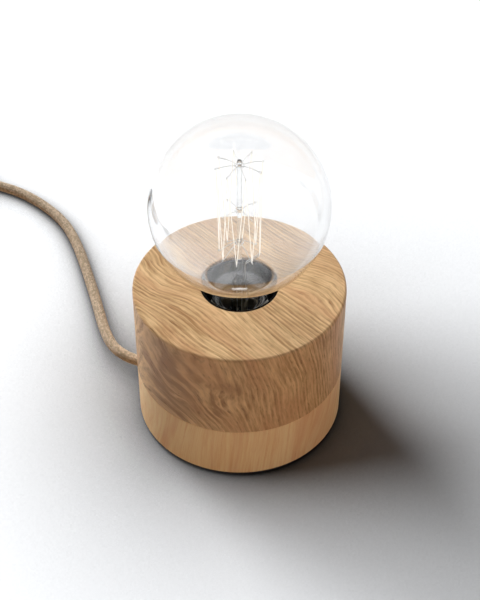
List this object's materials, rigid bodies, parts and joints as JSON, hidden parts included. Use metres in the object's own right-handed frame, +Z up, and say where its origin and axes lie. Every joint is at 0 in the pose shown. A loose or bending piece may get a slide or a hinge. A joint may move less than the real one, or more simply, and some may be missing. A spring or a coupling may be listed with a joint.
{
  "type": "bare bulb table lamp",
  "caption": "Table lamp with a round two-wood base, a sunk black screw lampholder, a large clear globe bulb with a cage filament, and a braided cord with a rocker switch and flat plug.",
  "frame": {"origin": "centre of the felt pad's underside, on the surface the lamp stands on", "axes": "+Z up along the base's and the bulb's axis, -Y towards the viewer of the picture, and the cord leaves the base to the left and a little back, between -X and +Y"},
  "size_m": [0.4105, 0.2915, 0.1934],
  "materials": {
    "felt": "black wool felt",
    "pale_wood": "fine upright grain, oiled satin",
    "oak": "open slanting grain, oiled satin",
    "dowel_wood": "planed beech",
    "cover_board": "fine matt",
    "zinc_steel": "zinc plated",
    "grommet_rubber": "matt",
    "clamp_nylon": "moulded nylon",
    "live_sleeve": "soft brown insulation",
    "neutral_sleeve": "soft blue insulation",
    "cord_braid": "woven flax-coloured braid",
    "holder_black": "satin moulded",
    "porcelain": "glazed ceramic",
    "brass": "stamped",
    "globe_glass": "clear blown",
    "stem_glass": "clear pressed",
    "support_wire": "drawn wire",
    "filament_wire": "fine coiled wire",
    "cap_metal": "rolled thread",
    "cap_glass": "black fused glass",
    "solder": "dull tin",
    "cement": "rough filler",
    "switch_black": "fine texture",
    "rocker_black": "smooth",
    "plug_black": "moulded",
    "pin_metal": "nickel plated"
  },
  "bodies": {
    "base": {"bottom_cover": "cover_board", "centre_contact": "brass", "clamp_block": "clamp_nylon", "clamp_screws": "zinc_steel", "clamp_strap": "clamp_nylon", "contact_rivets": "brass", "cord_coil": "cord_braid", "cord_grommet": "grommet_rubber", "cover_screws": "zinc_steel", "dowels": "dowel_wood", "felt_pad": "felt", "holder_dome": "holder_black", "holder_insert": "porcelain", "holder_skirt": "holder_black", "inner_cord": "cord_braid", "lamp_cord": "cord_braid", "live_core": "live_sleeve", "neutral_core": "neutral_sleeve", "nipple": "zinc_steel", "nipple_nut": "zinc_steel", "nipple_washer": "zinc_steel", "oak_block": "oak", "oak_screws": "zinc_steel", "pale_base": "pale_wood", "plug_body": "plug_black", "plug_cord": "cord_braid", "plug_pins": "pin_metal", "plug_relief": "plug_black", "rocker_axle": "zinc_steel", "screw_shell": "brass", "supply_cord": "cord_braid", "switch_base": "switch_black", "switch_contacts": "brass", "switch_cord_ends": "cord_braid", "switch_cores": "neutral_sleeve", "switch_screws": "zinc_steel", "switch_top": "switch_black", "terminal_screws": "zinc_steel", "terminals": "brass"},
    "bulb_carrier": {"cap_contact": "solder"},
    "bulb": {"glass_globe": "globe_glass", "glass_stem": "stem_glass", "glass_rod": "stem_glass", "glass_beads": "stem_glass", "top_hooks": "support_wire", "middle_hooks": "support_wire", "foot_hooks": "support_wire", "filament": "filament_wire", "filament_leads": "support_wire", "lead_out_wires": "support_wire", "screw_cap": "cap_metal", "cap_insulator": "cap_glass", "cap_cement": "cement"},
    "rocker": {"switch_rocker": "rocker_black", "rocker_bridge": "brass"}
  },
  "joints": [
    {"name": "bulb_lift", "type": "slide", "parent": "base", "child": "bulb_carrier", "axis": [0, 0, 1], "range_m": [0, 0.01452]},
    {"name": "bulb_turn", "type": "hinge", "parent": "bulb_carrier", "child": "bulb", "pos_m": [0, 0, 0.1], "axis": [0, 0, 1], "range_deg": [0, 1438]},
    {"name": "rocker_tilt", "type": "hinge", "parent": "base", "child": "rocker", "pos_m": [-0.23475, 0.2145, 0.013], "axis": [-0.2582, -0.9661, 0], "range_deg": [0, 16]}
  ],
  "couplings": [
    {"joint": "bulb_lift", "follows": "bulb_turn", "m_per_rad": 0.00057757}
  ]
}
